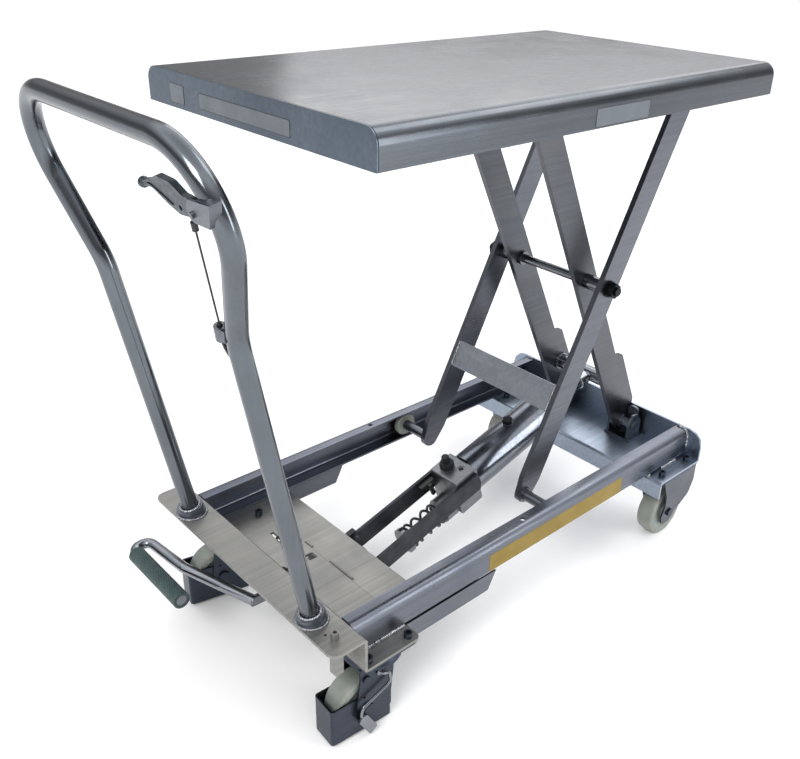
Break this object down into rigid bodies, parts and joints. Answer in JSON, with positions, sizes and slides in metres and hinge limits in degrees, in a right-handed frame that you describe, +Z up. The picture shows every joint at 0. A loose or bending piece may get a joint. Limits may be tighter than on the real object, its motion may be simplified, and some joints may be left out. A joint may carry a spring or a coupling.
{
  "type": "scissor lift table",
  "caption": "Mobile stainless scissor lift table with a foot pump, a hand release under its push handle, and braked swivel casters at the handle end.",
  "frame": {"origin": "centre of the bounding box on the floor under the wheels, deck raised", "axes": "+X along the deck away from the push handle, +Y to the left of a person at the handle, +Z up"},
  "size_m": [1.0418, 0.5, 0.9242],
  "materials": {
    "stainless": "satin brushed stainless steel",
    "polished": "polished stainless steel",
    "pale_plate": "pale blasted stainless plate",
    "dark_steel": "dark oxidised steel bar",
    "spring_steel": "black oiled steel",
    "pump_body": "grey zinc plated pump block",
    "chrome": "hard chromed rod",
    "cast_alloy": "as cast aluminium",
    "nylon": "off-white cast nylon",
    "grip": "knurled grey-green rubber sleeve",
    "cable": "black cable sheath"
  },
  "bodies": {
    "chassis": {"front_crossmember": "pale_plate", "rear_crossmember": "stainless", "rail_left": "stainless", "rail_right": "stainless", "gusset_left": "stainless", "gusset_right": "stainless", "tray_plate": "pale_plate", "cylinder_pin": "polished", "pivot_bracket_left": "stainless", "pivot_bracket_right": "stainless", "handle_tube": "polished", "handle_collar_left": "stainless", "handle_collar_right": "stainless", "lever_bracket": "stainless", "release_cable": "cable", "cable_guide": "stainless", "front_caster_plate_left": "stainless", "front_caster_plate_right": "stainless", "rear_caster_fork_left": "stainless", "rear_caster_fork_right": "stainless"},
    "inner_arms": {"inner_arm_left": "stainless", "inner_arm_right": "stainless", "lift_cross_shaft": "polished", "upper_axle": "stainless", "scissor_rod": "polished"},
    "outer_arms": {"outer_arm_left": "stainless", "outer_arm_right": "stainless", "outer_cross_plate": "stainless"},
    "platform": {"platform_top": "stainless", "platform_skirt_left": "stainless", "platform_skirt_right": "stainless", "platform_end_front": "stainless", "platform_end_rear": "stainless", "roller_track_left": "stainless", "roller_track_right": "stainless", "platform_bracket_left": "stainless", "platform_bracket_right": "stainless"},
    "upper_roller_left": {"upper_roller_left": "nylon"},
    "upper_roller_right": {"upper_roller_right": "nylon"},
    "lower_roller_left": {"lower_roller_left": "nylon"},
    "lower_roller_right": {"lower_roller_right": "nylon"},
    "hydraulic_unit": {"pump_bar_left": "dark_steel", "pump_bar_right": "dark_steel", "pump_block": "pump_body", "cylinder_tube": "polished", "pump_spring": "spring_steel"},
    "piston_rod": {"piston_rod": "chrome"},
    "pump_plunger": {"pump_plunger": "polished"},
    "valve_lever": {"valve_lever": "spring_steel"},
    "pedal": {"pedal_arm": "polished", "pedal_grip": "grip"},
    "release_lever": {"release_lever": "cast_alloy"},
    "swivel_left": {"swivel_fork_left": "stainless"},
    "swivel_right": {"swivel_fork_right": "stainless"},
    "front_wheel_left": {"front_wheel_left": "nylon"},
    "front_wheel_right": {"front_wheel_right": "nylon"},
    "brake_pedal_left": {"brake_pedal_left": "stainless"},
    "brake_pedal_right": {"brake_pedal_right": "stainless"},
    "rear_wheel_left": {"rear_wheel_left": "nylon"},
    "rear_wheel_right": {"rear_wheel_right": "nylon"}
  },
  "joints": [
    {"name": "lift", "type": "hinge", "parent": "chassis", "child": "inner_arms", "pos_m": [0.4801, 0, 0.189], "axis": [0, 1, 0], "range_deg": [-53.6, 0]},
    {"name": "scissor_cross", "type": "hinge", "parent": "inner_arms", "child": "outer_arms", "pos_m": [0.3041, 0, 0.5395], "axis": [0, 1, 0], "range_deg": [0, 107.4]},
    {"name": "platform_hinge", "type": "hinge", "parent": "outer_arms", "child": "platform", "pos_m": [0.4801, 0, 0.89], "axis": [0, 1, 0], "range_deg": [-53.7, 0]},
    {"name": "upper_roller_spin_left", "type": "hinge", "parent": "inner_arms", "child": "upper_roller_left", "pos_m": [0.1281, 0.095, 0.89], "axis": [0, 1, 0], "continuous": true},
    {"name": "upper_roller_spin_right", "type": "hinge", "parent": "inner_arms", "child": "upper_roller_right", "pos_m": [0.1281, -0.095, 0.89], "axis": [0, 1, 0], "continuous": true},
    {"name": "lower_roller_spin_left", "type": "hinge", "parent": "outer_arms", "child": "lower_roller_left", "pos_m": [0.1281, 0.1975, 0.189], "axis": [0, 1, 0], "continuous": true},
    {"name": "lower_roller_spin_right", "type": "hinge", "parent": "outer_arms", "child": "lower_roller_right", "pos_m": [0.1281, -0.1975, 0.189], "axis": [0, 1, 0], "continuous": true},
    {"name": "cylinder_swing", "type": "hinge", "parent": "chassis", "child": "hydraulic_unit", "pos_m": [-0.1986, 0, 0.085], "axis": [0, 1, 0], "range_deg": [-0.1, 3.8]},
    {"name": "piston_slide", "type": "slide", "parent": "hydraulic_unit", "child": "piston_rod", "axis": [0.9588, 0, 0.2842], "range_m": [-0.083, 0.0002]},
    {"name": "pedal_stroke", "type": "hinge", "parent": "hydraulic_unit", "child": "pedal", "pos_m": [-0.14256, 0, 0.11413], "axis": [0, -1, 0], "range_deg": [0, 14], "stiffness_Nm_per_rad": 20, "springref_deg": -14.32},
    {"name": "plunger_slide", "type": "slide", "parent": "hydraulic_unit", "child": "pump_plunger", "axis": [0.9588, 0, 0.2842], "range_m": [-0.0002, 0.0115], "deforming": ["pump_spring"]},
    {"name": "release_lever_squeeze", "type": "hinge", "parent": "chassis", "child": "release_lever", "pos_m": [-0.50216, -0.2028, 0.84603], "axis": [0.971, 0, 0.2392], "range_deg": [0, 18], "stiffness_Nm_per_rad": 0.25, "springref_deg": -5.73},
    {"name": "valve_lever_turn", "type": "hinge", "parent": "hydraulic_unit", "child": "valve_lever", "pos_m": [0.04056, 0.026, 0.1684], "axis": [0.9588, 0, 0.2842], "range_deg": [-0.1, 18.1]},
    {"name": "swivel_left", "type": "hinge", "parent": "chassis", "child": "swivel_left", "pos_m": [-0.2829, 0.198, 0], "axis": [0, 0, 1], "continuous": true},
    {"name": "front_wheel_spin_left", "type": "hinge", "parent": "swivel_left", "child": "front_wheel_left", "pos_m": [-0.30833, 0.20341, 0.05], "axis": [-0.2079, -0.9781, 0], "continuous": true},
    {"name": "brake_left", "type": "hinge", "parent": "swivel_left", "child": "brake_pedal_left", "pos_m": [-0.28779, 0.19904, 0.112], "axis": [-0.2079, -0.9781, 0], "range_deg": [0, 25]},
    {"name": "rear_wheel_spin_left", "type": "hinge", "parent": "chassis", "child": "rear_wheel_left", "pos_m": [0.4601, 0.209, 0.052], "axis": [0, 1, 0], "continuous": true},
    {"name": "swivel_right", "type": "hinge", "parent": "chassis", "child": "swivel_right", "pos_m": [-0.2829, -0.198, 0], "axis": [0, 0, 1], "continuous": true},
    {"name": "front_wheel_spin_right", "type": "hinge", "parent": "swivel_right", "child": "front_wheel_right", "pos_m": [-0.30884, -0.19619, 0.05], "axis": [-0.0698, -0.9976, 0], "continuous": true},
    {"name": "brake_right", "type": "hinge", "parent": "swivel_right", "child": "brake_pedal_right", "pos_m": [-0.28789, -0.19765, 0.112], "axis": [-0.0698, -0.9976, 0], "range_deg": [0, 25]},
    {"name": "rear_wheel_spin_right", "type": "hinge", "parent": "chassis", "child": "rear_wheel_right", "pos_m": [0.4601, -0.209, 0.052], "axis": [0, 1, 0], "continuous": true}
  ],
  "couplings": [
    {"joint": "scissor_cross", "follows": "lift", "ratio": -2},
    {"joint": "platform_hinge", "follows": "lift", "ratio": 1},
    {"joint": "cylinder_swing", "follows": "lift", "ratio": -0.0683},
    {"joint": "piston_slide", "follows": "lift", "m_per_rad": 0.0882},
    {"joint": "plunger_slide", "follows": "pedal_stroke", "m_per_rad": 0.046},
    {"joint": "valve_lever_turn", "follows": "release_lever_squeeze", "ratio": 1}
  ]
}
